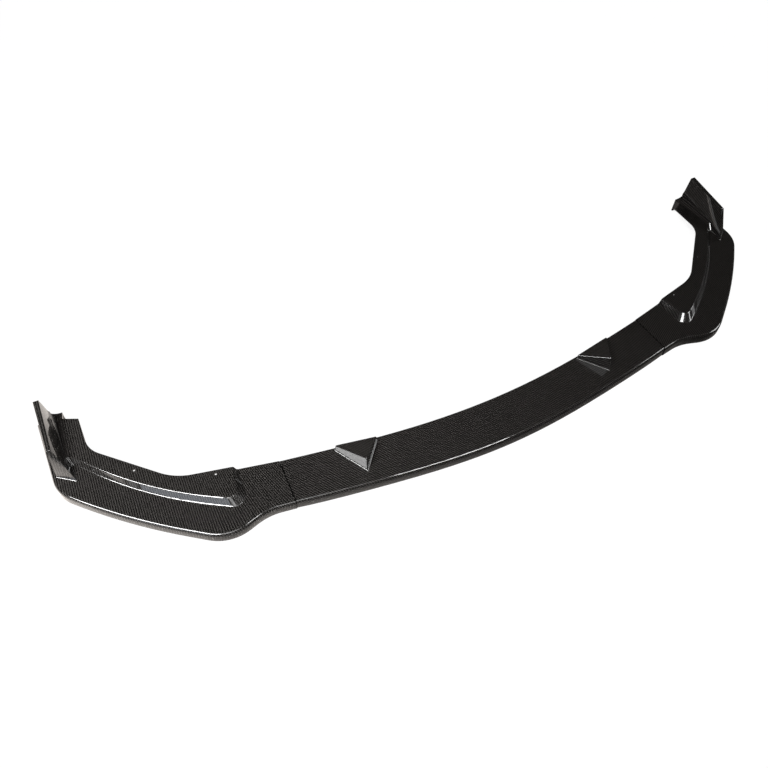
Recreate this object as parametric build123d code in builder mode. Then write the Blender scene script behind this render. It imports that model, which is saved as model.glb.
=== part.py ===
"""Front splitter lip for a saloon car: three moulded sections joined at two screwed lap joints.

X runs across the car, the front is -Y and Z is up. The lip lies on the lower edge of its own rim.
All sizes are in millimetres.
"""
import os
from math import atan2, cos, sqrt, tan

from build123d import *

os.makedirs("parts", exist_ok=True)

# Shared by all three sections.
HALF_WIDTH = 900.0       # middle of the car to the outer edge of an end section
WALL = 3.5               # moulded wall
LIP_HEIGHT = 24.0        # floor to the top of the plate, along the front edge
EDGE_RADIUS = 6.0        # round along the top of the front edge
INNER_RADIUS = 2.0       # the same round, inside
MATING_HEIGHT = 37.0     # floor to the face that meets the bumper

# Front edge, seen from above.
MIDDLE_FRONT_Y = -237.0  # foremost point, in the middle of the car
END_LENGTH = 428.0       # seam to the outer edge, along the front
SEAM_FRONT_Y = -179.0
SEAM_LEAN = 5.5          # the seam runs inwards by this much towards the rear
SEAM_REAR_Y = -73.5
SEAM_GAP = 0.5           # open line between two sections
EDGE_PROUD = 1.5         # end section's front edge stands this far ahead of the middle's

# Centre section.
MIDDLE_REAR_Y = -131.5   # rear edge in the middle of the car
CREST_RISE = 6.0         # rear edge of the plate above its front edge, between the wedges
BOW_IN = 217.0           # the bowed edges also pass these points, measured in from the seam
BOW_FRONT_Y = -216.0
BOW_REAR_Y = -113.0
LEVEL_IN = 122.0         # outboard of here the plate levels out towards the seam
LEVEL_FRONT_Y = -201.5
LEVEL_REAR_Y = -98.5

# Wedges moulded on the centre section, measured in from the seam.
WEDGE_OUTER_IN = 117.0
WEDGE_INNER_IN = 215.0
WEDGE_APEX_IN = 162.0
WEDGE_APEX_Y = -176.0
WEDGE_SETBACK = 1.0      # rear of the wedge ahead of the plate's rear edge
WEDGE_OUTER_HEIGHT = 45.0
WEDGE_INNER_HEIGHT = 38.0
WEDGE_APEX_HEIGHT = 65.5
WEDGE_DRAFT = 4.0        # degrees
WEDGE_RADIUS = 1.8       # along every edge but the foot

# Lap joints.
TONGUE_REACH = 42.0      # end section's tongue under the centre section
TONGUE_FRONT_Y = -170.0
TONGUE_REAR_Y = -80.0
TONGUE_RADIUS = 8.0
BOSS_HEIGHT = 6.0        # pads under the centre section that sit on the tongue
BOSS_RADIUS = 5.5
SCREW_RADIUS = 2.0
SCREW_CLEARANCE = 0.3    # screw in the tongue's hole
PILOT_CLEARANCE = 0.1    # screw in the pad's hole
SCREW_LENGTH = 9.5
SCREW_HEAD_RADIUS = 4.2
SCREW_HEAD_HEIGHT = 2.6
SCREW_INSET = 21.0       # screws from the seam
SCREW_FRONT_Y = -149.0
SCREW_REAR_Y = -107.0
RECESS_WIDTH = 1.2
RECESS_LENGTH = 4.6
RECESS_DEPTH = 1.4

# End sections: front edge, measured out from the seam. It is drawn to sharp corners, then rounded.
DIP_OUT = 57.5
DIP_Y = -171.0
DIP_RADIUS = 117.0
NOSE_OUT = 147.0
NOSE_Y = -198.5
NOSE_RADIUS = 92.0
SWEEP_OUT = 218.0        # from here one long arc runs to the outer corner
SWEEP_Y = -145.0
CORNER_Y = 53.0
CORNER_RADIUS = 83.0
REAR_Y = 237.0

# End sections: raised step that meets the bumper, measured out from the seam or in from the outer edge.
STEP_END_OUT = 87.0      # inner end of the step, at its rear edge
STEP_END_Y = -53.0
STEP_FRONT_OUT = 105.5   # its inner front corner, drawn sharp and then rounded
STEP_FRONT_Y = -125.0
STEP_MID_IN = 192.0
STEP_MID_Y = -37.5
STEP_OUTER_IN = 64.0
STEP_OUTER_Y = 97.0
STEP_CORNER_RADIUS = 15.0
FOOT_END_SPREAD = 7.0    # foot of the step's wall outside its top edge, at the inner rear
FOOT_FRONT_OUT = 81.0    # inner front corner of the foot
FOOT_FRONT_Y = -157.0
FOOT_MID_SPREAD = 11.0
FOOT_OUTER_SPREAD = 8.0
FOOT_CORNER_RADIUS = 26.0
STEP_EDGE_RADIUS = 5.0
STEP_FOOT_BLEND = 5.0

# End sections: rear edge and tab, measured in from the outer edge.
REAR_BEND_IN = 225.5
REAR_BEND_Y = -26.5
REAR_BEND_RADIUS = 120.0
TAB_INNER_IN = 84.5
TAB_BEND_Y = 117.0
TAB_BEND_RADIUS = 60.0
TAB_REAR_Y = 205.0
TAB_NOTCH_IN = 54.0
TAB_NOTCH_Y = 219.0
TAB_TIP_IN = 57.5
TAB_TIP_Y = 236.5
TAB_OUTER_IN = 36.0
TAB_OUTER_Y = 233.0

# End sections: winglet.
LEDGE = 9.5              # plate left outside the winglet
WINGLET_FRONT_Y = 88.0   # outer foot of the leading facet
FACET_WIDTH = 36.0
FACET_RAKE = 29.0        # inner foot of the facet ahead of its outer foot
WINGLET_FOOT = 29.0      # width of the foot at the rear
WINGLET_FRONT_TOP_Y = 115.0
WINGLET_FRONT_HEIGHT = 82.0
WINGLET_REAR_HEIGHT = 100.0
WINGLET_FRONT_TIP = 9.0  # width of the top edge at the front
WINGLET_REAR_TIP = 11.5  # and at the rear
WINGLET_LEAN = 2.0       # outer face leans in by this at the front
WINGLET_TOE = 3.5        # and by this much more at the rear
WINGLET_RADIUS = 2.5
WINGLET_BLEND = 4.5      # hollow where the winglet stands on the step and the plate
COVE_FRONT_Y = 118.0     # from here the hollow widens along the tab
COVE_REAR_RADIUS = 22.0

# Screw holes in the step for fixing the lip to the bumper.
MOUNT_HOLE_RADIUS = 2.5
MOUNT_INNER_OUT = 125.0  # from the seam
MOUNT_INNER_Y = -54.0
MOUNT_OUTER_IN = 156.0   # from the outer edge
MOUNT_OUTER_Y = 27.0

# Derived places.
UNDERSIDE = LIP_HEIGHT - WALL
TONGUE_TOP = UNDERSIDE - BOSS_HEIGHT
TONGUE_UNDER = TONGUE_TOP - WALL
SEAM_FRONT_X = HALF_WIDTH - END_LENGTH
SEAM_REAR_X = SEAM_FRONT_X - SEAM_LEAN
SEAM_SLANT = (SEAM_REAR_X - SEAM_FRONT_X) / (SEAM_REAR_Y - SEAM_FRONT_Y)
WEDGE_OUTER_X = SEAM_FRONT_X - WEDGE_OUTER_IN
WEDGE_INNER_X = SEAM_FRONT_X - WEDGE_INNER_IN
WEDGE_APEX_X = SEAM_FRONT_X - WEDGE_APEX_IN
STEP_END_X = SEAM_FRONT_X + STEP_END_OUT
STEP_MID_X = HALF_WIDTH - STEP_MID_IN
STEP_OUTER_X = HALF_WIDTH - STEP_OUTER_IN
SCREW_X = SEAM_REAR_X - SCREW_INSET
SCREW_SPOTS = [(x, y) for x in (SCREW_X, -SCREW_X) for y in (SCREW_FRONT_Y, SCREW_REAR_Y)]
MOUNT_SPOTS = [
    (SEAM_FRONT_X + MOUNT_INNER_OUT, MOUNT_INNER_Y),
    (HALF_WIDTH - MOUNT_OUTER_IN, MOUNT_OUTER_Y),
]
STEP_FOOT_Z = LIP_HEIGHT - WALL / 2
STEP_HEIGHT = MATING_HEIGHT - STEP_FOOT_Z
STEP_SIDE_WALL = WALL / cos(atan2(FOOT_MID_SPREAD, STEP_HEIGHT))
STATIONS = (
    (0, MIDDLE_FRONT_Y, MIDDLE_REAR_Y, CREST_RISE),
    (SEAM_FRONT_X - BOW_IN, BOW_FRONT_Y, BOW_REAR_Y, CREST_RISE),
    (SEAM_FRONT_X - LEVEL_IN, LEVEL_FRONT_Y, LEVEL_REAR_Y, CREST_RISE),
    (SEAM_FRONT_X, SEAM_FRONT_Y, SEAM_REAR_Y, 0),
)
WINGLET_X = HALF_WIDTH - LEDGE
WINGLET_FRONT_LEAN = (FACET_WIDTH - WINGLET_LEAN - WINGLET_FRONT_TIP) / (WINGLET_FRONT_HEIGHT - STEP_FOOT_Z)
WINGLET_REAR_LEAN = (
    WINGLET_FOOT - WINGLET_LEAN - WINGLET_TOE - WINGLET_REAR_TIP
) / (WINGLET_REAR_HEIGHT - STEP_FOOT_Z)
WINGLET_SLOPE = atan2(WINGLET_REAR_HEIGHT - WINGLET_FRONT_HEIGHT, REAR_Y - WINGLET_FRONT_TOP_Y)


def seam_x(y):
    """X of the seam at a given Y."""
    return SEAM_FRONT_X + SEAM_SLANT * (y - SEAM_FRONT_Y)


def lip_profile(front_y, rear_y, rise):
    """Cross-section of the centre section: a plate with a turned-down front edge."""
    with BuildSketch() as profile:
        with BuildLine():
            Polyline(
                (front_y, 0),
                (front_y, LIP_HEIGHT),
                (rear_y, LIP_HEIGHT + rise),
                (rear_y, UNDERSIDE + rise),
                (front_y + WALL, UNDERSIDE),
                (front_y + WALL, 0),
                close=True,
            )
        make_face()
        fillet(profile.vertices().sort_by_distance((front_y, LIP_HEIGHT))[0], radius=EDGE_RADIUS)
        fillet(profile.vertices().sort_by_distance((front_y + WALL, UNDERSIDE))[0], radius=INNER_RADIUS)
    return profile.sketch


def below_plate(front_y, rear_y, rise):
    """Cross-section of the room under the middle of the plate's wall."""
    with BuildSketch() as room:
        with BuildLine():
            Polyline(
                (front_y, 0),
                (front_y, UNDERSIDE + WALL / 2),
                (rear_y, UNDERSIDE + WALL / 2 + rise),
                (rear_y, 0),
                close=True,
            )
        make_face()
    return room.sketch


def wedge_outline():
    """A wedge as seen from above."""
    with BuildSketch() as outline:
        with BuildLine():
            Polyline(
                (WEDGE_OUTER_X, LEVEL_REAR_Y - WEDGE_SETBACK),
                (WEDGE_INNER_X, BOW_REAR_Y - WEDGE_SETBACK),
                (WEDGE_APEX_X, WEDGE_APEX_Y),
                close=True,
            )
        make_face()
    return outline.sketch


def wedge_top(drop):
    """Plane of a wedge's sloping top, lowered by a drop."""
    outer = Vector(WEDGE_OUTER_X, LEVEL_REAR_Y, WEDGE_OUTER_HEIGHT - drop)
    inner = Vector(WEDGE_INNER_X, BOW_REAR_Y, WEDGE_INNER_HEIGHT - drop)
    apex = Vector(WEDGE_APEX_X, WEDGE_APEX_Y, WEDGE_APEX_HEIGHT - drop)
    return Plane(origin=apex, x_dir=outer - inner, z_dir=(inner - outer).cross(apex - outer))


def step_outline(z):
    """The step as seen from above at a height: its wall spreads towards the foot."""
    share = (MATING_HEIGHT - z) / STEP_HEIGHT
    front_x = SEAM_FRONT_X + STEP_FRONT_OUT + share * (FOOT_FRONT_OUT - STEP_FRONT_OUT)
    front_y = STEP_FRONT_Y + share * (FOOT_FRONT_Y - STEP_FRONT_Y)
    mid = share * FOOT_MID_SPREAD / sqrt(2)
    outer = share * FOOT_OUTER_SPREAD / sqrt(2)
    end_x = STEP_END_X - share * FOOT_END_SPREAD
    with BuildSketch() as outline:
        with BuildLine():
            ThreePointArc(
                (front_x, front_y),
                (STEP_MID_X + mid, STEP_MID_Y - mid),
                (STEP_OUTER_X + outer, STEP_OUTER_Y - outer),
            )
            Polyline(
                (STEP_OUTER_X + outer, STEP_OUTER_Y - outer),
                (HALF_WIDTH + outer, STEP_OUTER_Y + HALF_WIDTH - STEP_OUTER_X - outer),
                (HALF_WIDTH + outer, 2 * REAR_Y),
                (end_x, 2 * REAR_Y),
                (end_x, STEP_END_Y),
                (front_x, front_y),
            )
        make_face()
        corner = outline.vertices().sort_by_distance((front_x, front_y))[0]
        fillet(corner, radius=STEP_CORNER_RADIUS + share * (FOOT_CORNER_RADIUS - STEP_CORNER_RADIUS))
    return outline.sketch


def step_reach(inset):
    """How far out and back the step runs, which is to the middle of the winglet's foot."""
    with BuildSketch() as reach:
        with BuildLine():
            Polyline(
                (SEAM_FRONT_X, NOSE_Y),
                (WINGLET_X - WINGLET_FOOT / 2, NOSE_Y),
                (WINGLET_X - WINGLET_FOOT / 2, REAR_Y - inset),
                (SEAM_FRONT_X, REAR_Y - inset),
                close=True,
            )
        make_face()
    return reach.sketch


def winglet_foot(inset):
    """The winglet's foot, inset by a wall where it is the hollow."""
    with BuildSketch() as foot:
        with BuildLine():
            Polyline(
                (WINGLET_X - inset, WINGLET_FRONT_Y + inset),
                (WINGLET_X - inset, REAR_Y - inset),
                (WINGLET_X - WINGLET_FOOT + inset, REAR_Y - inset),
                (WINGLET_X - FACET_WIDTH + inset, WINGLET_FRONT_Y - FACET_RAKE + 2 * inset),
                close=True,
            )
        make_face()
    return foot.sketch


def winglet_top(inset):
    """The winglet's top edge, drawn flat for its sloping plane."""
    front = WINGLET_X - WINGLET_LEAN
    rear = front - WINGLET_TOE
    length = (REAR_Y - WINGLET_FRONT_TOP_Y) / cos(WINGLET_SLOPE)
    with BuildSketch() as top:
        with BuildLine():
            Polyline(
                (front - inset, inset),
                (rear - inset, length - inset),
                (rear - WINGLET_REAR_TIP + inset, length - inset),
                (front - WINGLET_FRONT_TIP + inset, inset),
                close=True,
            )
        make_face()
    return top.sketch


def winglet_plane(drop):
    """Sloping plane of the winglet's top edge, lowered by a drop."""
    return Plane(
        origin=(0, WINGLET_FRONT_TOP_Y, WINGLET_FRONT_HEIGHT - drop),
        x_dir=(1, 0, 0),
        z_dir=(0, -tan(WINGLET_SLOPE), 1),
    )


def cove_profile(y, radius):
    """Cross-section of the hollow blend from the tab up to the winglet's inner face."""
    share = (y - WINGLET_FRONT_Y) / (REAR_Y - WINGLET_FRONT_Y)
    lean = WINGLET_FRONT_LEAN + share * (WINGLET_REAR_LEAN - WINGLET_FRONT_LEAN)
    foot_x = WINGLET_X - FACET_WIDTH + share * (FACET_WIDTH - WINGLET_FOOT)
    side_x = foot_x + lean * STEP_HEIGHT
    upper_x = side_x + lean * radius
    with BuildSketch() as profile:
        with BuildLine():
            ThreePointArc(
                (side_x - radius, MATING_HEIGHT),
                (side_x - radius * (1 - sqrt(0.5)), MATING_HEIGHT + radius * (1 - sqrt(0.5))),
                (upper_x, MATING_HEIGHT + radius),
            )
            Polyline(
                (upper_x, MATING_HEIGHT + radius),
                (upper_x + WALL / 2, MATING_HEIGHT + radius),
                (side_x + WALL / 2, MATING_HEIGHT - WALL / 2),
                (side_x - radius, MATING_HEIGHT - WALL / 2),
                (side_x - radius, MATING_HEIGHT),
            )
        make_face()
    return profile.sketch


# One wedge, outside and inside. Its foot ends within the plate.
with BuildPart() as wedge_form:
    with BuildSketch(Plane.XY.offset(UNDERSIDE)):
        add(wedge_outline())
    extrude(amount=WEDGE_APEX_HEIGHT, taper=WEDGE_DRAFT)
    split(bisect_by=wedge_top(0), keep=Keep.BOTTOM)
    fillet(wedge_form.edges().filter_by(lambda e: e.center().Z > UNDERSIDE + WALL), radius=WEDGE_RADIUS)
    for x, front_y, rear_y, rise in STATIONS:
        with BuildSketch(Plane.YZ.offset(x)):
            add(below_plate(front_y, rear_y, rise))
    loft(mode=Mode.SUBTRACT)

with BuildPart() as wedge_hollow:
    with BuildSketch() as hollow_plan:
        add(wedge_outline())
        offset(amount=-WALL, kind=Kind.INTERSECTION)
    extrude(amount=WEDGE_APEX_HEIGHT, taper=WEDGE_DRAFT)
    split(bisect_by=wedge_top(WALL), keep=Keep.BOTTOM)

# Centre section: one cross-section lofted through the bowed stations, with wedges and pads.
with BuildPart() as center_section:
    for x, front_y, rear_y, rise in [(-s[0], *s[1:]) for s in reversed(STATIONS[1:])] + list(STATIONS):
        with BuildSketch(Plane.YZ.offset(x)):
            add(lip_profile(front_y, rear_y, rise))
    loft()
    for wedge in (wedge_form.part, mirror(wedge_form.part, about=Plane.YZ)):
        add(wedge)
    add(wedge_hollow.part, mode=Mode.SUBTRACT)
    add(mirror(wedge_hollow.part, about=Plane.YZ), mode=Mode.SUBTRACT)
    with BuildSketch(Plane.XY.offset(TONGUE_TOP)):
        with Locations(*SCREW_SPOTS):
            Circle(BOSS_RADIUS)
    extrude(amount=BOSS_HEIGHT + WALL / 2)
    with BuildSketch(Plane.XY.offset(TONGUE_TOP)):
        with Locations(*SCREW_SPOTS):
            Circle(SCREW_RADIUS + PILOT_CLEARANCE)
    extrude(amount=BOSS_HEIGHT + WALL / 3, mode=Mode.SUBTRACT)
    with BuildSketch():
        with BuildLine():
            Polyline(
                (seam_x(2 * SEAM_FRONT_Y) - SEAM_GAP, 2 * SEAM_FRONT_Y),
                (seam_x(0) - SEAM_GAP, 0),
                (-seam_x(0) + SEAM_GAP, 0),
                (-seam_x(2 * SEAM_FRONT_Y) + SEAM_GAP, 2 * SEAM_FRONT_Y),
                close=True,
            )
        make_face()
    extrude(amount=WEDGE_APEX_HEIGHT * 2, mode=Mode.INTERSECT)

# Step and winglet of an end section, outside and inside.
with BuildPart() as step_form:
    for z in (STEP_FOOT_Z, MATING_HEIGHT):
        with BuildSketch(Plane.XY.offset(z)):
            add(step_outline(z))
    loft(ruled=True)
    with BuildSketch():
        add(step_reach(0))
    extrude(amount=MATING_HEIGHT, mode=Mode.INTERSECT)
    top_rim = step_form.edges().group_by(Axis.Z)[-1]
    fillet(top_rim.filter_by(lambda e: e.center().Y < STEP_OUTER_Y), radius=STEP_EDGE_RADIUS)

with BuildPart() as step_hollow:
    for z in (UNDERSIDE - WALL, MATING_HEIGHT - WALL):
        with BuildSketch(Plane.XY.offset(z)):
            add(step_outline(z))
            offset(amount=-STEP_SIDE_WALL, kind=Kind.INTERSECTION)
    loft(ruled=True)
    with BuildSketch():
        add(step_reach(WALL))
    extrude(amount=MATING_HEIGHT, mode=Mode.INTERSECT)

with BuildPart() as winglet_form:
    with BuildSketch(Plane.XY.offset(STEP_FOOT_Z)):
        add(winglet_foot(0))
    with BuildSketch(winglet_plane(0)):
        add(winglet_top(0))
    loft(ruled=True)
    crown = winglet_form.faces().sort_by(Axis.Z)[-1].edges()
    fillet(crown, radius=WINGLET_RADIUS)

with BuildPart() as winglet_hollow:
    with BuildSketch(Plane.XY.offset(UNDERSIDE - WALL)):
        add(winglet_foot(WALL))
    with BuildSketch(winglet_plane(WALL)):
        add(winglet_top(WALL))
    loft(ruled=True)

with BuildPart() as cove:
    for y, radius in ((COVE_FRONT_Y, WINGLET_BLEND), (REAR_Y, COVE_REAR_RADIUS)):
        with BuildSketch(Plane.XZ.offset(-y)):
            add(cove_profile(y, radius))
    loft(ruled=True)

with BuildPart() as right_end_section:
    with BuildSketch() as end_plan:
        with BuildLine():
            front = Polyline(
                (seam_x(SEAM_FRONT_Y), SEAM_FRONT_Y - EDGE_PROUD),
                (SEAM_FRONT_X + DIP_OUT, DIP_Y),
                (SEAM_FRONT_X + NOSE_OUT, NOSE_Y),
                (SEAM_FRONT_X + SWEEP_OUT, SWEEP_Y),
            )
            TangentArc(front @ 1, (HALF_WIDTH, CORNER_Y), tangent=front % 1)
            Polyline(
                (HALF_WIDTH, CORNER_Y),
                (HALF_WIDTH, REAR_Y),
                (seam_x(REAR_Y), REAR_Y),
                (seam_x(SEAM_FRONT_Y), SEAM_FRONT_Y - EDGE_PROUD),
            )
        make_face()
        dip = end_plan.vertices().sort_by_distance((SEAM_FRONT_X + DIP_OUT, DIP_Y))[0]
        fillet(dip, radius=DIP_RADIUS)
        nose = end_plan.vertices().sort_by_distance((SEAM_FRONT_X + NOSE_OUT, NOSE_Y))[0]
        fillet(nose, radius=NOSE_RADIUS)
        fillet(end_plan.vertices().sort_by_distance((HALF_WIDTH, CORNER_Y))[0], radius=CORNER_RADIUS)
    extrude(amount=LIP_HEIGHT)
    plate_rim = right_end_section.edges().group_by(Axis.Z)[-1]
    front_rim = plate_rim.filter_by(lambda e: e.center().X > seam_x(SEAM_FRONT_Y) and e.center().Y < REAR_Y)
    fillet(front_rim, radius=EDGE_RADIUS)
    add(step_form.part)
    step_edges = right_end_section.edges(Select.NEW)
    step_foot = step_edges.filter_by(lambda e: abs(e.center().Z - LIP_HEIGHT) < WALL / 100)
    fillet(step_foot, radius=STEP_FOOT_BLEND)
    add(winglet_form.part)
    seat = right_end_section.edges(Select.NEW).filter_by(lambda e: e.center().Y < REAR_Y - WALL)
    fillet(seat.filter_by(lambda e: e.center().X < WINGLET_X - LEDGE / 2), radius=WINGLET_BLEND)
    add(cove.part)
    add(step_hollow.part, mode=Mode.SUBTRACT)
    add(winglet_hollow.part, mode=Mode.SUBTRACT)
    with BuildSketch():
        add(offset(end_plan.sketch, amount=-WALL, kind=Kind.INTERSECTION))
    extrude(amount=UNDERSIDE, mode=Mode.SUBTRACT)
    with BuildSketch() as kept:
        with BuildLine():
            Polyline(
                (seam_x(SEAM_REAR_Y), SEAM_REAR_Y),
                (STEP_END_X, STEP_END_Y),
                (HALF_WIDTH - REAR_BEND_IN, REAR_BEND_Y),
                (HALF_WIDTH - TAB_INNER_IN, TAB_BEND_Y),
                (HALF_WIDTH - TAB_INNER_IN, TAB_REAR_Y),
                (HALF_WIDTH - TAB_NOTCH_IN, TAB_NOTCH_Y),
                (HALF_WIDTH - TAB_TIP_IN, TAB_TIP_Y),
                (HALF_WIDTH - TAB_OUTER_IN, TAB_OUTER_Y),
                (HALF_WIDTH - TAB_OUTER_IN, REAR_Y),
                (2 * HALF_WIDTH, REAR_Y),
                (2 * HALF_WIDTH, 2 * NOSE_Y),
                (seam_x(SEAM_REAR_Y), 2 * NOSE_Y),
                close=True,
            )
        make_face()
        rear_bend = kept.vertices().sort_by_distance((HALF_WIDTH - REAR_BEND_IN, REAR_BEND_Y))[0]
        fillet(rear_bend, radius=REAR_BEND_RADIUS)
        tab_bend = kept.vertices().sort_by_distance((HALF_WIDTH - TAB_INNER_IN, TAB_BEND_Y))[0]
        fillet(tab_bend, radius=TAB_BEND_RADIUS)
    extrude(amount=2 * WINGLET_REAR_HEIGHT, mode=Mode.INTERSECT)
    with BuildSketch(Plane.XY.offset(TONGUE_UNDER)) as tongue:
        with BuildLine():
            Polyline(
                (seam_x(TONGUE_FRONT_Y) + WALL / 2, TONGUE_FRONT_Y),
                (seam_x(TONGUE_REAR_Y) + WALL / 2, TONGUE_REAR_Y),
                (seam_x(TONGUE_REAR_Y) - TONGUE_REACH, TONGUE_REAR_Y),
                (seam_x(TONGUE_FRONT_Y) - TONGUE_REACH, TONGUE_FRONT_Y),
                close=True,
            )
        make_face()
        fillet(tongue.vertices().sort_by(Axis.X)[:2], radius=TONGUE_RADIUS)
        with Locations(*SCREW_SPOTS[:2]):
            Circle(SCREW_RADIUS + SCREW_CLEARANCE, mode=Mode.SUBTRACT)
    extrude(amount=WALL)
    with BuildSketch(Plane.XY.offset(MATING_HEIGHT)):
        with Locations(*MOUNT_SPOTS):
            Circle(MOUNT_HOLE_RADIUS)
    extrude(amount=-2 * WALL, mode=Mode.SUBTRACT)

# The other end section is its mirror image.
with BuildPart() as left_end_section:
    add(mirror(right_end_section.part, about=Plane.YZ))

# Pan-head screws that pull each tongue up against its pads.
with BuildPart() as joint_screw:
    with BuildSketch(Plane.XZ) as screw_half:
        with BuildLine():
            Polyline(
                (0, -SCREW_HEAD_HEIGHT),
                (SCREW_HEAD_RADIUS, -SCREW_HEAD_HEIGHT),
                (SCREW_HEAD_RADIUS, 0),
                (SCREW_RADIUS, 0),
                (SCREW_RADIUS, SCREW_LENGTH - SCREW_RADIUS),
                (0, SCREW_LENGTH),
                close=True,
            )
        make_face()
        head_rim = screw_half.vertices().sort_by_distance((SCREW_HEAD_RADIUS, -SCREW_HEAD_HEIGHT))[0]
        fillet(head_rim, radius=SCREW_HEAD_HEIGHT / 2)
    revolve(axis=Axis.Z)
    with BuildSketch(Plane.XY.offset(-SCREW_HEAD_HEIGHT)):
        Rectangle(RECESS_LENGTH, RECESS_WIDTH)
        Rectangle(RECESS_WIDTH, RECESS_LENGTH)
    extrude(amount=RECESS_DEPTH, mode=Mode.SUBTRACT)

with BuildPart() as joint_screws:
    with Locations(*[(x, y, TONGUE_UNDER) for x, y in SCREW_SPOTS]):
        add(joint_screw.part)

center_section.part.label = "center_section"
left_end_section.part.label = "left_end_section"
right_end_section.part.label = "right_end_section"
joint_screws.part.label = "joint_screws"

export_step(center_section.part, "parts/center_section.step")
export_step(left_end_section.part, "parts/left_end_section.step")
export_step(right_end_section.part, "parts/right_end_section.step")
export_step(joint_screws.part, "parts/joint_screws.step")
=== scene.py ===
"""Looks of a front splitter lip: three gloss shells with a twill print, and the screws that join them."""

import logging
from dataclasses import dataclass, field
from enum import Enum
from math import pi, radians

import bpy
from mathutils import Matrix, Vector


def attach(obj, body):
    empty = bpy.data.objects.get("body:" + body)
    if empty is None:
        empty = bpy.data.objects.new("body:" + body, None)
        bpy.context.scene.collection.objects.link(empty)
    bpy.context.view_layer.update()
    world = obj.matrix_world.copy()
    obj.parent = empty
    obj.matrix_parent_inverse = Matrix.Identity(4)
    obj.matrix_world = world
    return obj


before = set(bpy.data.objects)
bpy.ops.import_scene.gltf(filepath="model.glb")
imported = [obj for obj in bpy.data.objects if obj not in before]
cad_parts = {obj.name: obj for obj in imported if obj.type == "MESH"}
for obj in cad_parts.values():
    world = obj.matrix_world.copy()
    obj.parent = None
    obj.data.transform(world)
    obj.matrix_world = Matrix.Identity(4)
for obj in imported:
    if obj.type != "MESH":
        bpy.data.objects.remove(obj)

LOG = logging.getLogger("splitter_lip")
ROOT = "root"
METRES_TO_MM = 1000.0

Color = tuple[float, float, float, float]
Point = tuple[float, float, float]
Pair = tuple[float, float]
Names = tuple[str, ...]
Socket = bpy.types.NodeSocket

BLACK: Color = (0.0, 0.0, 0.0, 1.0)
WHITE: Color = (1.0, 1.0, 1.0, 1.0)
ORIGIN: Point = (0.0, 0.0, 0.0)
LEVEL: Point = (0.0, 0.0, 0.0)
FACING_FRONT: Point = (90.0, 0.0, 0.0)
FACING_SIDE: Point = (0.0, 90.0, 0.0)


class Section(Enum):
    """The three moulded shells, by the name of their CAD node."""

    CENTER = "center_section"
    LEFT = "left_end_section"
    RIGHT = "right_end_section"


@dataclass(frozen=True)
class Slope:
    """A smooth run from one number to another, over a span of the value that is looked at."""

    start: float
    stop: float
    at_start: float
    at_stop: float


class NodeBench:
    """Lays out shader nodes in one node tree."""

    def __init__(self, tree: bpy.types.NodeTree) -> None:
        """Keeps the node tree that the nodes go in."""
        self.tree = tree

    def node(self, kind: str, inputs: dict[str, object] | None = None,
             **settings: object) -> bpy.types.Node:
        """Adds a node, sets its plain properties and feeds its inputs.

        Args:
            kind: Blender's name for the node's type.
            inputs: input name to an output socket, a number or a colour.
            settings: properties to set on it.

        Returns:
            The new node.
        """
        made = self.tree.nodes.new(kind)
        for name, value in settings.items():
            setattr(made, name, value)
        self.fill(made, inputs or {})
        return made

    def fill(self, target: bpy.types.Node, inputs: dict[str, object]) -> None:
        """Feeds the inputs of a node by their names.

        Args:
            target: the node.
            inputs: input name to an output socket, a number or a colour.
        """
        for name, source in inputs.items():
            self.feed(source, target.inputs[name])

    def feed(self, source: object, target: Socket) -> None:
        """Links a socket to a target, or writes a plain value in it.

        Args:
            source: an output socket, a number or a colour.
            target: the input socket.
        """
        if isinstance(source, Socket):
            self.tree.links.new(source, target)
        else:
            target.default_value = source

    def math(self, operation: str, first: object, second: object = 0.0, third: object = 0.0) -> Socket:
        """Adds a Math node.

        Args:
            operation: Blender's name for the sum.
            first: first number or socket.
            second: second number or socket.
            third: third number or socket.

        Returns:
            The node's output.
        """
        made = self.node("ShaderNodeMath", operation=operation)
        for target, value in zip(made.inputs, (first, second, third)):
            self.feed(value, target)
        return made.outputs[0]

    def blend(self, share: object, first: object, second: object) -> Socket:
        """Mixes two colours.

        Args:
            share: how much of the second colour shows.
            first: colour at a share of 0.
            second: colour at a share of 1.

        Returns:
            The mixed colour.
        """
        made = self.node("ShaderNodeMix", {"Factor": share, "A": first, "B": second}, data_type="RGBA")
        return made.outputs["Result"]

    def spread(self, value: object, low: object, high: object) -> Socket:
        """Maps a value from 0..1 to low..high.

        Args:
            value: the number to map.
            low: result at 0.
            high: result at 1.

        Returns:
            The mapped number.
        """
        made = self.node("ShaderNodeMapRange", {"Value": value, "To Min": low, "To Max": high})
        return made.outputs["Result"]

    def slope(self, value: Socket, run: Slope) -> Socket:
        """Runs smoothly from one number to another.

        Args:
            value: the number that is looked at.
            run: where the run starts and stops, and the results there.

        Returns:
            The result.
        """
        ends = {"From Min": run.start, "From Max": run.stop, "To Min": run.at_start, "To Max": run.at_stop}
        made = self.node("ShaderNodeMapRange", {"Value": value, **ends}, interpolation_type="SMOOTHSTEP")
        return made.outputs["Result"]

    def axes(self, vector: Socket) -> bpy.types.Node:
        """Adds a node that splits a vector into X, Y and Z."""
        return self.node("ShaderNodeSeparateXYZ", {"Vector": vector})

    def group(self, tree: bpy.types.NodeTree, inputs: dict[str, object]) -> bpy.types.Node:
        """Places a shared node group and feeds its inputs."""
        return self.node("ShaderNodeGroup", inputs, node_tree=tree)


def new_material(name: str) -> tuple[bpy.types.Material, NodeBench, bpy.types.Node]:
    """Makes a material with nothing but a shader.

    Args:
        name: the material's name.

    Returns:
        The material, a bench for its nodes and its shader node.
    """
    material = bpy.data.materials.new(name)
    material.use_nodes = True
    return material, NodeBench(material.node_tree), material.node_tree.nodes["Principled BSDF"]


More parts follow.
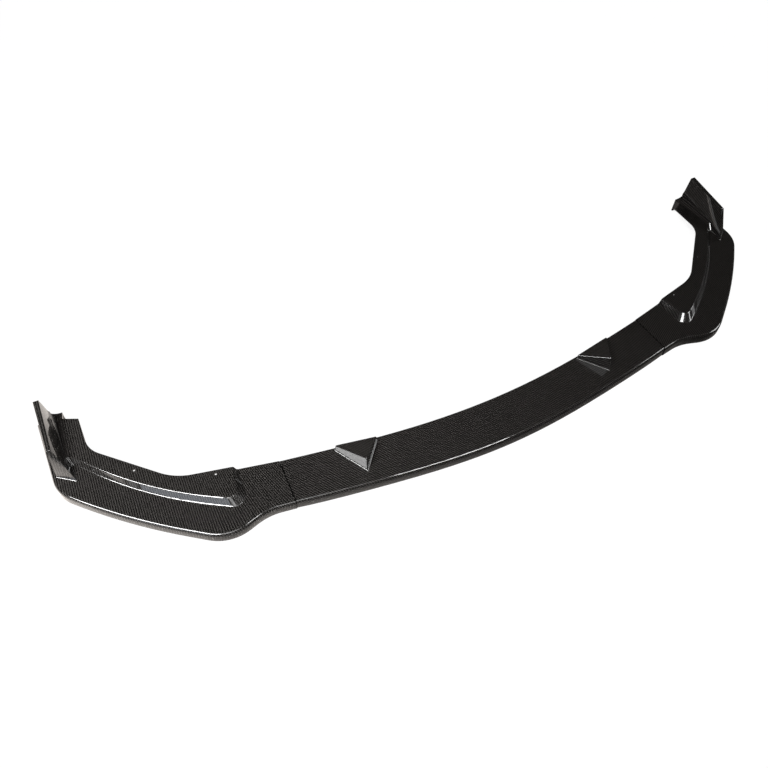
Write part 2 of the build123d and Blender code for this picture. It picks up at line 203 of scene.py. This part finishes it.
def deselect_all() -> None:
    """Deselects every object, because operators act on all that is selected."""
    bpy.ops.object.select_all(action="DESELECT")


def turned(x_axis: Vector, y_axis: Vector, z_axis: Vector) -> Matrix:
    """Gives the turn that lays X, Y and Z along three directions."""
    return Matrix((x_axis, y_axis, z_axis)).transposed().to_4x4()


class SharedEffects:
    """Node groups that more than one finish uses."""

    level_share: float = 0.6
    drape_reach_mm: float = 120.0
    repeat_tows: float = 4.0
    float_tows: float = 2.0
    warp_limit: float = 1.5
    stripe_middle: float = 1.5
    stripe_share: float = 0.62
    tow_end_crown: float = 0.45
    thread_waves: float = 44.0
    darkest_thread: float = 0.82
    darkest_tow: float = 0.95
    down_limit: float = -0.3
    back_limit: float = 0.3
    inward_limit: float = 0.7

    def __init__(self) -> None:
        """Builds each group once."""
        self.cloth_plane = self._cloth_plane()
        self.twill = self._twill()
        self.raw_side = self._raw_side()
        # The band of painted shade along the seams.
        self.painted_seam_shade = self._painted_seam_shade()

    @staticmethod
    def _group(name: str, vectors: Names, numbers: Names, results: Names) -> tuple[
            NodeBench, bpy.types.Node, bpy.types.Node]:
        """Makes an empty group with named sockets.

        Args:
            name: the group's name.
            vectors: names of the inputs that take a vector.
            numbers: names of the inputs that take a number.
            results: names of the outputs, all of them numbers.

        Returns:
            A bench for the group's nodes, its input node and its output node.
        """
        tree = bpy.data.node_groups.new(name, "ShaderNodeTree")
        for side, kind, sockets in (
                ("INPUT", "NodeSocketVector", vectors),
                ("INPUT", "NodeSocketFloat", numbers),
                ("OUTPUT", "NodeSocketFloat", results)):
            for socket in sockets:
                tree.interface.new_socket(name=socket, in_out=side, socket_type=kind)
        return NodeBench(tree), tree.nodes.new("NodeGroupInput"), tree.nodes.new("NodeGroupOutput")

    def _cloth_plane(self) -> bpy.types.NodeTree:
        """Lays flat cloth on the surface from above, from the front or from the side, by the way it faces.

        Returns:
            A group that turns a place and a normal into places on the cloth.
        """
        bench, given, result = self._group(
            "cloth_plane", ("Place", "Facing"), ("Drape", "Drape Start"), ("Across", "Along"))
        place = bench.axes(given.outputs["Place"])
        facing = bench.axes(given.outputs["Facing"])
        sideways, forwards, upwards = [bench.math("ABSOLUTE", facing.outputs[axis]) for axis in "XYZ"]
        steep = bench.math("MAXIMUM", sideways, forwards)
        is_flat = bench.math("GREATER_THAN", upwards, bench.math("MULTIPLY", steep, self.level_share))
        is_side = bench.math("GREATER_THAN", sideways, forwards)
        past_start = bench.math("SUBTRACT", place.outputs["X"], given.outputs["Drape Start"])
        inboard = bench.math("MAXIMUM", past_start, 0.0)
        forward = bench.math("ADD", place.outputs["Y"], self.drape_reach_mm)
        pull = bench.math("MULTIPLY", bench.math("MULTIPLY", inboard, forward), given.outputs["Drape"])
        draped = bench.math("ADD", place.outputs["X"], pull)
        wall_across = bench.spread(is_side, draped, place.outputs["Y"])
        bench.fill(result, {
            "Across": bench.spread(is_flat, wall_across, draped),
            "Along": bench.spread(is_flat, place.outputs["Z"], place.outputs["Y"]),
        })
        return bench.tree

    def _twill(self) -> bpy.types.NodeTree:
        """Draws a two-over, two-under twill, with its diagonal lines partly blended into soft stripes.

        Returns:
            A group that gives the share of warp on top, how far a tow stands up and the tone of its fibres.
        """
        bench, given, result = self._group(
            "twill_weave", (), ("Across", "Along", "Tow"), ("Warp", "Crown", "Fibre"))
        across = bench.math("DIVIDE", given.outputs["Across"], given.outputs["Tow"])
        along = bench.math("DIVIDE", given.outputs["Along"], given.outputs["Tow"])
        column = bench.math("FLOOR", across)
        row = bench.math("FLOOR", along)
        order = bench.math("FLOORED_MODULO", bench.math("ADD", column, row), self.repeat_tows)
        warp = bench.math("LESS_THAN", order, self.warp_limit)
        diagonal = bench.math("SUBTRACT", bench.math("ADD", across, along), self.stripe_middle)
        wave = bench.math("COSINE", bench.math("MULTIPLY", diagonal, 2 * pi / self.repeat_tows))
        stripe = bench.math("ADD", bench.math("MULTIPLY", wave, 0.5), 0.5)
        warp_run = bench.math("FLOORED_MODULO", bench.math("ADD", column, along), self.float_tows)
        weft_run = bench.math("FLOORED_MODULO", bench.math("ADD", across, row), self.float_tows)
        side = bench.spread(warp, bench.math("FRACT", along), bench.math("FRACT", across))
        run = bench.math("MULTIPLY", bench.spread(warp, weft_run, warp_run), 1 / self.float_tows)
        arch = bench.spread(self._hump(bench, run), self.tow_end_crown, 1.0)
        threads = bench.math("SINE", bench.math("MULTIPLY", side, self.thread_waves))
        chance = bench.node(
            "ShaderNodeTexWhiteNoise", {"W": bench.spread(warp, row, column)}, noise_dimensions="1D")
        tow_tone = bench.spread(chance.outputs["Value"], self.darkest_tow, 1.0)
        bench.fill(result, {
            "Warp": bench.spread(self.stripe_share, warp, stripe),
            "Crown": bench.math("MULTIPLY", self._hump(bench, side), arch),
            "Fibre": bench.math("MULTIPLY", bench.spread(threads, self.darkest_thread, 1.0), tow_tone),
        })
        return bench.tree

    def _raw_side(self) -> bpy.types.NodeTree:
        """Finds the side that got neither print nor coat: all that faces down or in under the rim.

        Returns:
            A group that gives 1 on raw plastic and 0 on the finished side.
        """
        bench, given, result = self._group(
            "raw_side", ("Place", "Facing"), ("Inboard", "Rim Height"), ("Raw",))
        place = bench.axes(given.outputs["Place"])
        facing = bench.axes(given.outputs["Facing"])
        down = bench.math("LESS_THAN", facing.outputs["Z"], self.down_limit)
        low = bench.math("LESS_THAN", place.outputs["Z"], given.outputs["Rim Height"])
        back = bench.math("GREATER_THAN", facing.outputs["Y"], self.back_limit)
        inwards = bench.math("MULTIPLY", facing.outputs["X"], given.outputs["Inboard"])
        inner = bench.math("MAXIMUM", back, bench.math("GREATER_THAN", inwards, self.inward_limit))
        bench.feed(bench.math("MAXIMUM", down, bench.math("MULTIPLY", low, inner)), result.inputs["Raw"])
        return bench.tree

    def _painted_seam_shade(self) -> bpy.types.NodeTree:
        """Finds a thin band along both seams, where painted shade covers the print and the coat is left
        off.

        Returns:
            A group that gives 1 in the painted seam shade and 0 elsewhere.
        """
        bench, given, result = self._group(
            "painted_seam_shade", ("Place",), ("Front X", "Front Y", "Slant", "Width"), ("Seam Shade",))
        place = bench.axes(given.outputs["Place"])
        behind = bench.math("SUBTRACT", place.outputs["Y"], given.outputs["Front Y"])
        line = bench.math("MULTIPLY_ADD", behind, given.outputs["Slant"], given.outputs["Front X"])
        outboard = bench.math("ABSOLUTE", place.outputs["X"])
        away = bench.math("ABSOLUTE", bench.math("SUBTRACT", outboard, line))
        bench.feed(bench.math("LESS_THAN", away, given.outputs["Width"]), result.inputs["Seam Shade"])
        return bench.tree

    @staticmethod
    def _hump(bench: NodeBench, share: Socket) -> Socket:
        """Gives a rounded bump: 0 at both ends of a share and 1 half-way."""
        offset = bench.math("MULTIPLY_ADD", share, 2.0, -1.0)
        return bench.math("SUBTRACT", 1.0, bench.math("MULTIPLY", offset, offset))


@dataclass(frozen=True)
class CarbonGloss:
    """Black twill print under a thick clear gloss coat, and raw plastic on the side that shows least."""

    name: str
    weave_turn: float
    tow_mm: float = 1.63
    drape: float = 0.0
    drape_start: float = -640.0
    flip: bool = False
    inboard: float = 0.0
    rim_height: float = 20.6
    seam_front: Pair = (472.0, -179.0)
    seam_slant: float = -5.5 / 105.5
    # Half-width in millimetres of the painted shade along each seam.
    painted_seam_shade: float = 1.2
    warp_color: Color = (0.075, 0.0713, 0.0678, 1.0)
    weft_color: Color = (0.0037, 0.0033, 0.0031, 1.0)
    raw_color: Color = (0.020, 0.020, 0.021, 1.0)
    # Near-black painted shade in the seams between the shells.
    seam_shade_color: Color = (0.002, 0.002, 0.002, 1.0)
    # Share of the warp colour kept at the sides of each tow, as painted shade; the crown keeps all of it.
    tow_side_shade: float = 0.55
    warp_roughness: float = 0.22
    weft_roughness: float = 0.30
    raw_roughness: float = 0.56
    raw_variation: float = 0.2
    grain_scale: float = 1.6
    grain_detail: float = 4.0
    coat_roughness: float = 0.025
    coat_ior: float = 1.55
    print_gloss: float = 0.12
    tow_relief: float = 0.14
    tow_height: float = 0.0004

    def make(self, effects: SharedEffects) -> bpy.types.Material:
        """Builds the material.

        Args:
            effects: shared node groups.

        Returns:
            The finished material.
        """
        material, bench, shader = new_material(self.name)
        source = bench.node("ShaderNodeTexCoord")
        facing = source.outputs["Normal"]
        side = -METRES_TO_MM if self.flip else METRES_TO_MM
        mapping = bench.node("ShaderNodeMapping", {
            "Vector": source.outputs["Object"], "Scale": (side, METRES_TO_MM, METRES_TO_MM)})
        place = mapping.outputs["Vector"]
        twill = self._lay_twill(bench, effects, place, facing)
        warp, crown, fibre = [twill.outputs[name] for name in ("Warp", "Crown", "Fibre")]
        # Painted shade: the warp darkens towards the sides of each tow and keeps its full colour on the
        # crown.
        tone = bench.math("MULTIPLY", warp, bench.spread(crown, self.tow_side_shade, 1.0))
        printed = bench.blend(bench.math("MULTIPLY", tone, fibre), self.weft_color, self.warp_color)
        sheen = bench.spread(warp, self.weft_roughness, self.warp_roughness)
        raw = bench.group(effects.raw_side, {
            "Place": place, "Facing": facing, "Inboard": self.inboard,
            "Rim Height": self.rim_height}).outputs["Raw"]
        # Painted shade in a thin band along each seam.
        front_x, front_y = self.seam_front
        seam_shade_mask = bench.group(effects.painted_seam_shade, {
            "Place": place, "Front X": front_x, "Front Y": front_y, "Slant": self.seam_slant,
            "Width": self.painted_seam_shade}).outputs["Seam Shade"]
        grain = bench.node("ShaderNodeTexNoise", {
            "Vector": place, "Scale": self.grain_scale, "Detail": self.grain_detail}).outputs["Fac"]
        smoothest = self.raw_roughness - self.raw_variation / 2
        matt = bench.math("MULTIPLY_ADD", grain, self.raw_variation, smoothest)
        bump = bench.node("ShaderNodeBump", {
            "Strength": self.tow_relief, "Distance": self.tow_height,
            "Height": bench.spread(raw, crown, grain)})
        # The print, with the painted seam shade laid over it.
        finished = bench.blend(seam_shade_mask, printed, self.seam_shade_color)
        bench.fill(shader, {
            "Base Color": bench.blend(raw, finished, self.raw_color),
            "Roughness": bench.spread(raw, sheen, matt),
            "Normal": bump.outputs["Normal"],
            "Specular IOR Level": self.print_gloss,
            # No coat on raw plastic, nor on the painted seam shade.
            "Coat Weight": bench.spread(bench.math("MAXIMUM", raw, seam_shade_mask), 1.0, 0.0),
            "Coat Roughness": self.coat_roughness,
            "Coat IOR": self.coat_ior,
        })
        return material

    def _lay_twill(self, bench: NodeBench, effects: SharedEffects, place: Socket,
                   facing: Socket) -> bpy.types.Node:
        """Lays the twill on the shell, draped and turned as it was cut.

        Args:
            bench: where the nodes go.
            effects: shared node groups.
            place: place on the shell in millimetres.
            facing: the way the shell faces.

        Returns:
            The twill's group node.
        """
        plane = bench.group(effects.cloth_plane, {
            "Place": place, "Facing": facing, "Drape": self.drape, "Drape Start": self.drape_start})
        flat = bench.node("ShaderNodeCombineXYZ", {
            "X": plane.outputs["Across"], "Y": plane.outputs["Along"]})
        turn = bench.node("ShaderNodeMapping", {
            "Vector": flat.outputs[0], "Rotation": (0.0, 0.0, radians(self.weave_turn))})
        cloth = bench.axes(turn.outputs["Vector"])
        return bench.group(effects.twill, {
            "Across": cloth.outputs["X"], "Along": cloth.outputs["Y"], "Tow": self.tow_mm})


@dataclass(frozen=True)
class ZincSteel:
    """Bright zinc plating on a small screw."""

    name: str = "zinc_steel"
    light: Color = (0.62, 0.62, 0.60, 1.0)
    dull: Color = (0.40, 0.40, 0.39, 1.0)
    roughness: Pair = (0.24, 0.46)
    cloud_scale: float = 900.0

    def make(self) -> bpy.types.Material:
        """Builds the material.

        Returns:
            The finished material.
        """
        material, bench, shader = new_material(self.name)
        place = bench.node("ShaderNodeTexCoord")
        cloud = bench.node("ShaderNodeTexNoise", {
            "Vector": place.outputs["Object"], "Scale": self.cloud_scale}).outputs["Fac"]
        bench.fill(shader, {
            "Base Color": bench.blend(cloud, self.light, self.dull),
            "Roughness": bench.spread(cloud, *self.roughness),
            "Metallic": 1.0,
        })
        return material


@dataclass
class Shells:
    """The three moulded sections, which keep their CAD shape."""

    finishes: dict[Section, CarbonGloss] = field(default_factory=lambda: {
        Section.CENTER: CarbonGloss("carbon_gloss_center", weave_turn=13.0),
        Section.LEFT: CarbonGloss("carbon_gloss_left", weave_turn=48.0, drape=0.0023, inboard=1.0),
        Section.RIGHT: CarbonGloss(
            "carbon_gloss_right", weave_turn=48.0, drape=0.0023, inboard=-1.0, flip=True),
    })

    def dress(self, effects: SharedEffects) -> None:
        """Gives each section its own cut of the twill.

        Args:
            effects: shared node groups.
        """
        for section, finish in self.finishes.items():
            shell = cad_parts[section.value]
            shell.data.materials.clear()
            shell.data.materials.append(finish.make(effects))
            LOG.info("dressed %s", section.value)


@dataclass
class WedgeFeet:
    """Small blends where the front walls of both wedges run out into the plate."""

    radius: float = 0.003
    sink: float = 0.0012
    side_share: float = 0.88
    front_reach: float = 2.0
    tool_sides: int = 96
    tool_reach: float = 1.2
    smooth_angle: float = 40.0
    apex: Point = (-0.3099, -0.17535, 0.02593)
    outer_rear: Point = (-0.3516, -0.1040, 0.02972)
    inner_rear: Point = (-0.2604, -0.1170, 0.02972)
    outer_wall: Point = (-0.860, -0.506, 0.070)
    inner_wall: Point = (0.758, -0.648, 0.070)
    plate: Point = (-0.0085, -0.0584, 0.9983)

    def build(self) -> bpy.types.Object:
        """Builds the blends of one wedge and mirrors them to the other.

        Returns:
            All four blends in one piece.
        """
        walls = ((self.outer_rear, self.outer_wall), (self.inner_rear, self.inner_wall))
        outwards = [Vector(wall).normalized() for _, wall in walls]
        mitre = (outwards[0] + outwards[1]).cross(Vector((0.0, 0.0, 1.0))).normalized()
        strips = [self._strip(rear, wall, mitre) for rear, wall in walls]
        deselect_all()
        for strip in strips:
            strip.select_set(True)
        bpy.context.view_layer.objects.active = strips[0]
        bpy.ops.object.join()
        feet = bpy.context.object
        feet.name = "wedge_feet"
        mirror = feet.modifiers.new("other_wedge", "MIRROR")
        mirror.use_mirror_merge = False
        bpy.ops.object.modifier_apply(modifier=mirror.name)
        bpy.ops.object.shade_smooth_by_angle(angle=radians(self.smooth_angle))
        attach(feet, ROOT)
        LOG.info("built wedge_feet")
        return feet

    def dress(self, feet: bpy.types.Object) -> None:
        """Gives the blends the finish of the section that they belong to."""
        feet.data.materials.clear()
        feet.data.materials.append(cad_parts[Section.CENTER.value].data.materials[0])

    def _strip(self, rear: Point, wall: Point, mitre: Vector) -> bpy.types.Object:
        """Makes one hollow strip that lies against a wall and the plate.

        Args:
            rear: rear end of the wall's foot.
            wall: the way the wall faces.
            mitre: normal of the plane where the two strips of a wedge meet.

        Returns:
            The strip, with its place in its mesh.
        """
        apex, up = Vector(self.apex), Vector(self.plate).normalized()
        outwards = Vector(wall).normalized()
        along = (Vector(rear) - apex).normalized()
        away = up.cross(along).normalized()
        away = away if away.dot(outwards) > 0.0 else -away
        front = apex - along * self.radius * self.front_reach
        length = (Vector(rear) - front).length
        middle = (Vector(rear) + front) / 2
        turn = turned(along, away, along.cross(away))
        side = self.radius * self.side_share + self.sink
        offset = away * (side / 2 - self.sink) + up * (side / 2 - self.sink)
        deselect_all()
        bpy.ops.mesh.primitive_cube_add(size=1.0)
        strip = bpy.context.object
        stretch = Matrix.Diagonal((length, side, side, 1.0))
        strip.matrix_world = Matrix.Translation(middle + offset) @ turn @ stretch
        reach = self.radius / (1.0 + outwards.dot(up))
        bpy.ops.mesh.primitive_cylinder_add(
            vertices=self.tool_sides, radius=self.radius, depth=length * self.tool_reach)
        tool = bpy.context.object
        lie = along.to_track_quat("Z", "Y").to_matrix().to_4x4()
        tool.matrix_world = Matrix.Translation(middle + (outwards + up) * reach) @ lie
        self._hollow(strip, tool)
        self._trim(apex, mitre if mitre.dot(along) < 0.0 else -mitre)
        return strip

    @staticmethod
    def _hollow(strip: bpy.types.Object, tool: bpy.types.Object) -> None:
        """Cuts a round tool out of a strip, and puts the strip's place in its mesh.

        Args:
            strip: the strip, which stays the active object.
            tool: the round tool, which is removed.
        """
        cut = strip.modifiers.new("hollow", "BOOLEAN")
        cut.object, cut.operation, cut.solver = tool, "DIFFERENCE", "EXACT"
        bpy.context.view_layer.objects.active = strip
        bpy.ops.object.modifier_apply(modifier=cut.name)
        bpy.data.objects.remove(tool)
        deselect_all()
        strip.select_set(True)
        bpy.ops.object.transform_apply(location=True, rotation=True, scale=True)

    @staticmethod
    def _trim(point: Vector, outer_side: Vector) -> None:
        """Cuts off the end of the active strip and closes it.

        Args:
            point: a point on the cutting plane.
            outer_side: the plane's normal, on the side that goes.
        """
        bpy.ops.object.mode_set(mode="EDIT")
        bpy.ops.mesh.select_all(action="SELECT")
        bpy.ops.mesh.bisect(plane_co=point, plane_no=outer_side, use_fill=True, clear_outer=True)
        bpy.ops.object.mode_set(mode="OBJECT")


@dataclass
class JointScrews:
    """The four pan-head screws at the seams."""

    finish: ZincSteel = ZincSteel()

    def dress(self) -> None:
        """Plates the screws."""
        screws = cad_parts["joint_screws"]
        screws.data.materials.clear()
        screws.data.materials.append(self.finish.make())
        LOG.info("dressed joint_screws")


def stage_plane(name: str, size: float, place: Point, turn: Point = LEVEL) -> bpy.types.Object:
    """Adds a square that is part of the stage.

    Args:
        name: the object's name.
        size: length of a side.
        place: where its middle is.
        turn: turns about X, Y and Z in degrees.

    Returns:
        The square.
    """
    deselect_all()
    bpy.ops.mesh.primitive_plane_add(size=size, location=place, rotation=[radians(angle) for angle in turn])
    plane = bpy.context.object
    plane.name = name
    return plane


def seen_rays(bench: NodeBench) -> Socket:
    """Tells rays that show the background from rays that light the object.

    Args:
        bench: where the nodes go.

    Returns:
        1 for camera, mirror and glass rays, and 0 for the others.
    """
    path = bench.node("ShaderNodeLightPath")
    glossy = bench.math("MAXIMUM", path.outputs["Is Glossy Ray"], path.outputs["Is Transmission Ray"])
    return bench.math("MAXIMUM", path.outputs["Is Camera Ray"], glossy)


@dataclass
class Floor:
    """White floor that keeps a faint shadow, and that the gloss mirrors more brightly at the left."""

    size: float = 14.0
    drop: float = 0.0005
    roughness: float = 0.9
    lit_gray: float = 0.8
    seen_gray: float = 0.04
    mirror_tint: Color = (1.0, 0.93, 0.87, 1.0)
    near_x: Slope = Slope(-0.72, -0.48, 0.95, 0.0)
    near_y: Slope = Slope(-0.05, 0.12, 0.1, 1.0)
    beyond_x: Slope = Slope(-0.99, -0.9, 2.0, 0.0)
    beyond_y: Slope = Slope(0.1, 0.3, 0.0, 0.13)
    skirt_x: Slope = Slope(-0.8, 0.2, 0.85, 0.12)
    skirt_shade: Slope = Slope(0.5, 0.8, 1.4, 0.2)
    distance: Slope = Slope(1.0, 2.4, 1.0, 0.12)
    shadow: Slope = Slope(0.04, 0.3, 0.1, 1.0)
    shadow_reach: float = 0.06
    shadow_samples: int = 8

    def build(self) -> None:
        """Lays the floor just under the part."""
        floor = stage_plane("floor", self.size, (0.0, 0.0, -self.drop))
        material, bench, shader = new_material("white_floor")
        seen = seen_rays(bench)
        shade = bench.spread(seen, self.lit_gray, self.seen_gray)
        gray = bench.node("ShaderNodeCombineColor", {"Red": shade, "Green": shade, "Blue": shade})
        corner = bench.node(
            "ShaderNodeAmbientOcclusion", {"Distance": self.shadow_reach}, samples=self.shadow_samples)
        hidden = corner.outputs["AO"]
        camera = bench.node("ShaderNodeLightPath").outputs["Is Camera Ray"]
        glow = bench.spread(camera, self._mirrored(bench, hidden), bench.slope(hidden, self.shadow))
        bench.fill(shader, {
            "Base Color": gray.outputs[0],
            "Roughness": self.roughness,
            "Specular IOR Level": 0.0,
            "Emission Color": bench.blend(camera, self.mirror_tint, WHITE),
            "Emission Strength": bench.math("MULTIPLY", seen, glow),
        })
        floor.data.materials.append(material)

    def _mirrored(self, bench: NodeBench, hidden: Socket) -> Socket:
        """Sets how bright the floor is where the gloss mirrors it.

        Args:
            bench: where the nodes go.
            hidden: 1 on open floor, down to 0 close to the part.

        Returns:
            The brightness.
        """
        place = bench.node("ShaderNodeTexCoord").outputs["Object"]
        axes = bench.axes(place)
        x, y = axes.outputs["X"], axes.outputs["Y"]
        near = bench.math("MULTIPLY", bench.slope(x, self.near_x), bench.slope(y, self.near_y))
        beyond = bench.math("ADD", bench.slope(x, self.beyond_x), bench.slope(y, self.beyond_y))
        skirt = bench.math("MULTIPLY", bench.slope(x, self.skirt_x), bench.slope(hidden, self.skirt_shade))
        span = bench.node("ShaderNodeVectorMath", operation="LENGTH")
        bench.feed(place, span.inputs[0])
        dim = bench.slope(span.outputs["Value"], self.distance)
        return bench.math("MULTIPLY", bench.math("ADD", bench.math("ADD", near, beyond), skirt), dim)


@dataclass
class Ceiling:
    """Dim ceiling that the level faces mirror, and dark flags round the sides."""

    size: float = 16.0
    height: float = 5.0
    flag_gap: float = 0.3
    rise: Slope = Slope(-0.9, 1.2, 0.05, 0.12)
    fall: Slope = Slope(2.0, 6.0, 0.0, -0.06)
    flag_light: float = 0.03
    dark: Color = (0.02, 0.02, 0.02, 1.0)
    warm: Color = (1.0, 0.92, 0.86, 1.0)

    def build(self) -> None:
        """Hangs the ceiling and the flags out of the camera's sight."""
        reach = self.size / 2
        lift = reach + self.flag_gap
        ceiling, flag = self._ceiling_material(), self._flag_material()
        for name, middle, turn, material in (
                ("ceiling", (0.0, 0.0, self.height), LEVEL, ceiling),
                ("rear_flag", (0.0, reach, lift), FACING_FRONT, ceiling),
                ("front_flag", (0.0, -reach, lift), FACING_FRONT, flag),
                ("left_flag", (-reach, 0.0, lift), FACING_SIDE, flag),
                ("right_flag", (reach, 0.0, lift), FACING_SIDE, flag)):
            panel = stage_plane(name, self.size, middle, turn)
            panel.visible_camera = False
            panel.data.materials.append(material)

    def _ceiling_material(self) -> bpy.types.Material:
        """Makes a dark material that glows in a warm white, most of all over the middle.

        Returns:
            The finished material.
        """
        material, bench, shader = new_material("dim_ceiling")
        x = bench.axes(bench.node("ShaderNodeTexCoord").outputs["Object"]).outputs["X"]
        light = bench.math("ADD", bench.slope(x, self.rise), bench.slope(x, self.fall))
        bench.fill(shader, {
            "Base Color": self.dark, "Emission Color": self.warm, "Emission Strength": light})
        return material

    def _flag_material(self) -> bpy.types.Material:
        """Makes a dark material with an even faint glow.

        Returns:
            The finished material.
        """
        material, bench, shader = new_material("dark_flag")
        bench.fill(shader, {
            "Base Color": self.dark, "Emission Color": self.warm, "Emission Strength": self.flag_light})
        return material


@dataclass(frozen=True)
class GlossCard:
    """A bright card that only the gloss shows."""

    name: str
    place: Point
    aim: Point
    along: Point
    size: Pair
    glow: float
    tint: Point = (1.0, 1.0, 1.0)

    def build(self) -> None:
        """Hangs the card with its second side running along the given way, facing its aim."""
        card = stage_plane(self.name, 1.0, ORIGIN)
        facing = (Vector(self.aim) - Vector(self.place)).normalized()
        across = Vector(self.along).cross(facing).normalized()
        turn = turned(across, facing.cross(across), facing)
        card.matrix_world = Matrix.Translation(self.place) @ turn @ Matrix.Diagonal((*self.size, 1.0, 1.0))
        card.visible_camera = False
        card.visible_diffuse = False
        card.visible_shadow = False
        material, bench, shader = new_material(self.name)
        bench.fill(shader, {
            "Base Color": BLACK, "Emission Color": (*self.tint, 1.0), "Emission Strength": self.glow})
        card.data.materials.append(material)


@dataclass(frozen=True)
class SoftBox:
    """A rectangular soft box that the gloss doesn't show."""

    name: str
    place: Point
    aim: Point
    size: Pair
    watts: float
    tint: Point
    spread: float

    def build(self) -> None:
        """Hangs the soft box, facing its aim."""
        lamp = bpy.data.lights.new(self.name, "AREA")
        lamp.shape = "RECTANGLE"
        lamp.size, lamp.size_y = self.size
        lamp.energy = self.watts
        lamp.color = self.tint
        lamp.spread = radians(self.spread)
        holder = bpy.data.objects.new(self.name, lamp)
        bpy.context.scene.collection.objects.link(holder)
        holder.location = self.place
        holder.rotation_euler = (Vector(self.aim) - Vector(self.place)).to_track_quat("-Z", "Y").to_euler()
        holder.visible_glossy = False


@dataclass
class Studio:
    """White room with a dim ceiling, one soft box, and cards that place the highlights."""

    left_step: Point = (-0.7, -0.1, 0.0)
    step_run: Point = (1.4, 2.0, 1.0)
    world_lit: float = 0.25
    world_seen: float = 1.0

    def build(self) -> None:
        """Builds the room and its lights."""
        self._world()
        Floor().build()
        Ceiling().build()
        SoftBox("key_box", place=(-2.3, -0.75, 2.45), aim=(-0.88, 0.05, 0.0), size=(1.2, 1.2),
                watts=11.0, tint=(1.0, 0.99, 0.99), spread=44.0).build()
        for card in self._cards():
            card.build()
        bpy.context.scene.view_settings.view_transform = "Standard"

    def _cards(self) -> tuple[GlossCard, ...]:
        """Lists the cards.

        Returns:
            The cards in the order in which they are hung.
        """
        return (
            GlossCard("key_card", place=(-2.323, -0.766, 2.272), aim=self.left_step, along=self.step_run,
                      size=(2.2, 0.8), glow=46.0),
            GlossCard("side_card", place=(-1.08, -1.82, 2.91), aim=self.left_step, along=self.step_run,
                      size=(1.3, 2.35), glow=4.0),
            GlossCard("band_card", place=(-3.7, -2.15, 1.2), aim=(-0.65, -0.08, 0.0),
                      along=(1.2, -0.8, 1.6), size=(0.9, 2.7), glow=2.4, tint=(0.84, 0.9, 1.0)),
            GlossCard("top_card", place=(0.65, -0.9, 2.6), aim=(0.2, -0.2, 0.0), along=(0.0, 1.0, 0.0),
                      size=(1.0, 0.6), glow=23.0),
            GlossCard("right_card", place=(3.3, -1.0, 1.9), aim=(0.0, -1.0, 1.9), along=(0.0, 0.0, 1.0),
                      size=(1.2, 2.0), glow=8.0),
        )

    def _world(self) -> None:
        """Makes the background white, and a weak light."""
        world = bpy.data.worlds.new("studio_world")
        bpy.context.scene.world = world
        world.use_nodes = True
        bench = NodeBench(world.node_tree)
        bench.fill(world.node_tree.nodes["Background"], {
            "Color": WHITE, "Strength": bench.spread(seen_rays(bench), self.world_lit, self.world_seen)})


@dataclass
class PhotoCamera:
    """Camera that sees the lip from the photograph's angle."""

    place: Point = (-0.6863, -0.9359, 1.4066)
    right: Point = (0.8940, -0.4477, 0.0215)
    up: Point = (0.3414, 0.7113, 0.6145)
    lens: float = 36.305
    sensor: float = 36.0
    farthest: float = 50.0

    def build(self) -> None:
        """Adds the camera and makes it the scene's own."""
        data = bpy.data.cameras.new("photo_camera")
        data.lens = self.lens
        data.sensor_width = self.sensor
        data.clip_end = self.farthest
        camera = bpy.data.objects.new("photo_camera", data)
        bpy.context.scene.collection.objects.link(camera)
        right = Vector(self.right).normalized()
        back = right.cross(Vector(self.up)).normalized()
        camera.matrix_world = Matrix.Translation(self.place) @ turned(right, back.cross(right), back)
        bpy.context.scene.camera = camera


def main() -> None:
    """Builds the looks in order."""
    logging.basicConfig(level=logging.INFO, format="%(name)s: %(message)s")
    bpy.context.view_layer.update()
    effects = SharedEffects()
    Shells().dress(effects)
    feet = WedgeFeet()
    feet.dress(feet.build())
    JointScrews().dress()
    Studio().build()
    PhotoCamera().build()


if __name__ == "__main__":
    main()
